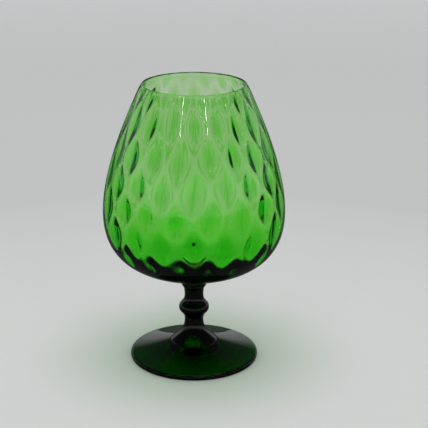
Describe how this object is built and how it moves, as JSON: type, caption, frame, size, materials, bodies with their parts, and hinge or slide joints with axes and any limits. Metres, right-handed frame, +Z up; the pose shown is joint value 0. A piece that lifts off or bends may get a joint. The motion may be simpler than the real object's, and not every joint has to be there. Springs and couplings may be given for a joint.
{
  "type": "footed balloon glass vase",
  "caption": "Large balloon-shaped glass bowl with a diamond optic, narrowing to an open mouth, on a short knopped stem and a round foot.",
  "frame": {"origin": "centre of the ring that the foot stands on", "axes": "+Z up along the axis of revolution, towards the mouth; round, so X and Y are free"},
  "size_m": [0.1778, 0.1778, 0.28],
  "materials": {
    "bowl_glass": "fire-polished green glass",
    "dark_glass": "fire-polished dark green glass",
    "stem_glass": "fire-polished glass, so dark a green that it reads black"
  },
  "bodies": {
    "root": {"bowl": "bowl_glass", "merese": "stem_glass", "stem": "stem_glass", "foot": "dark_glass"}
  },
  "joints": []
}
